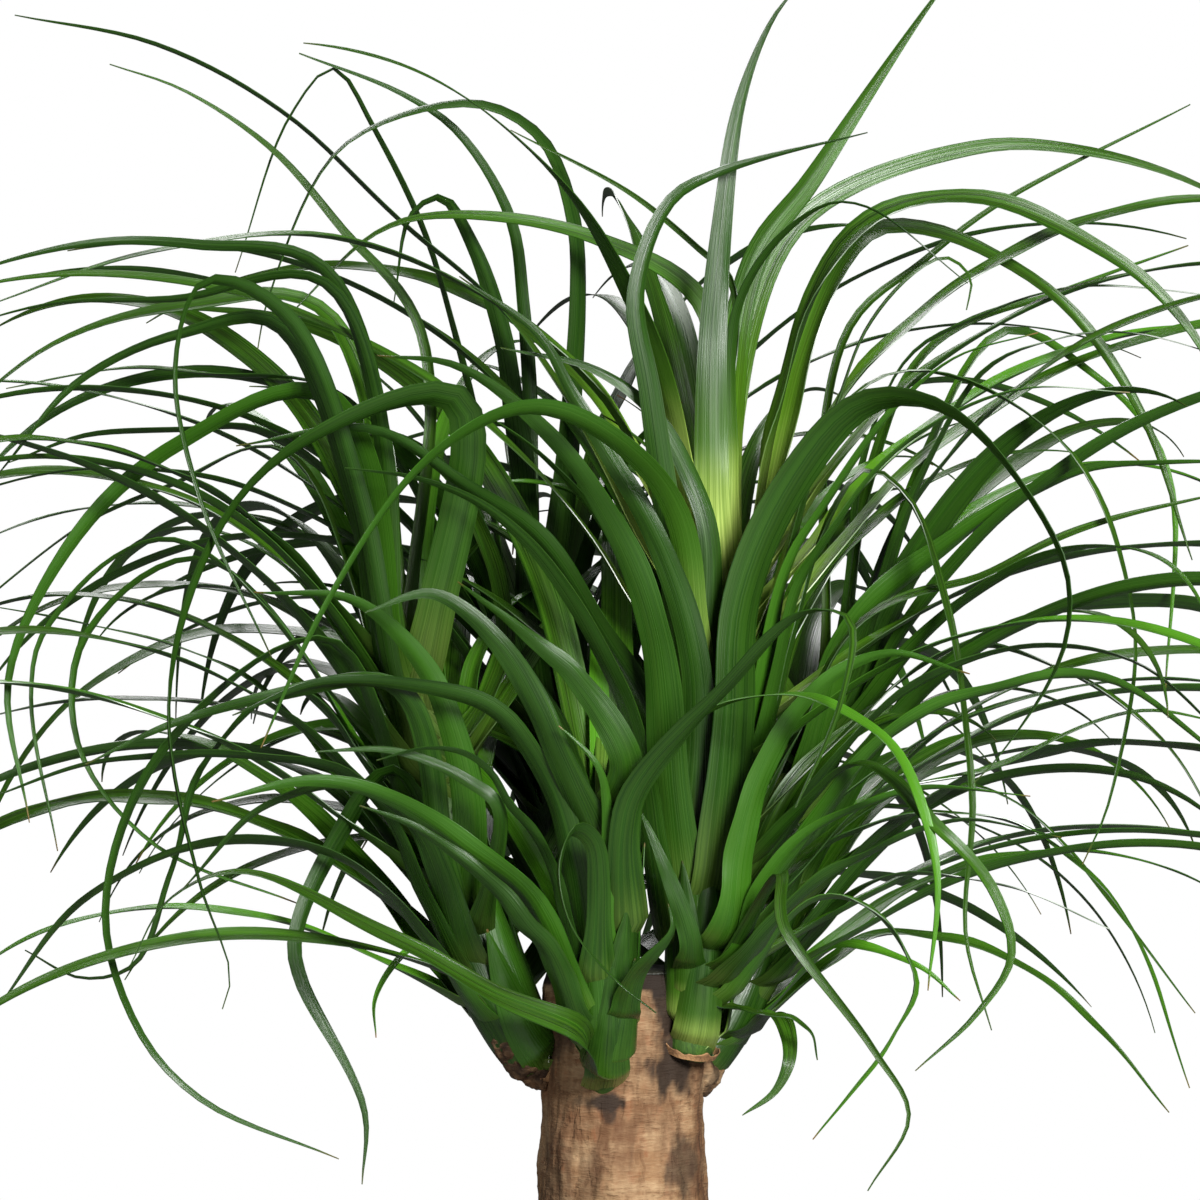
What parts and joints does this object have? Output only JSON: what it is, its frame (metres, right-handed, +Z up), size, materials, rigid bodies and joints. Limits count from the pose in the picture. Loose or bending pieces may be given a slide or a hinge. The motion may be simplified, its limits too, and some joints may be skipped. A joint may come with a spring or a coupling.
{
  "type": "potted ponytail palm",
  "caption": "Ponytail palm in a plain clay pot: a stout trunk, swollen at the foot and cut square at the top, with leafy shoots whose long strap leaves arch and hang",
  "frame": {"origin": "the middle of the pot's flat underside, on the surface that the plant stands on", "axes": "+Z up along the trunk, +X to the right of the front view, and the front of the plant faces -Y"},
  "size_m": [0.9665, 0.6987, 1.051],
  "materials": {
    "clay": "matte",
    "soil": "matte",
    "bark": "matte",
    "wax": "satin",
    "leaf": "satin"
  },
  "bodies": {
    "root": {"pot": "clay", "soil": "soil", "trunk": "bark", "cut_seal": "wax", "shoot_right": "leaf", "shoot_front": "leaf", "shoot_left": "leaf", "shoot_back_right": "leaf", "shoot_back": "leaf"}
  },
  "joints": []
}
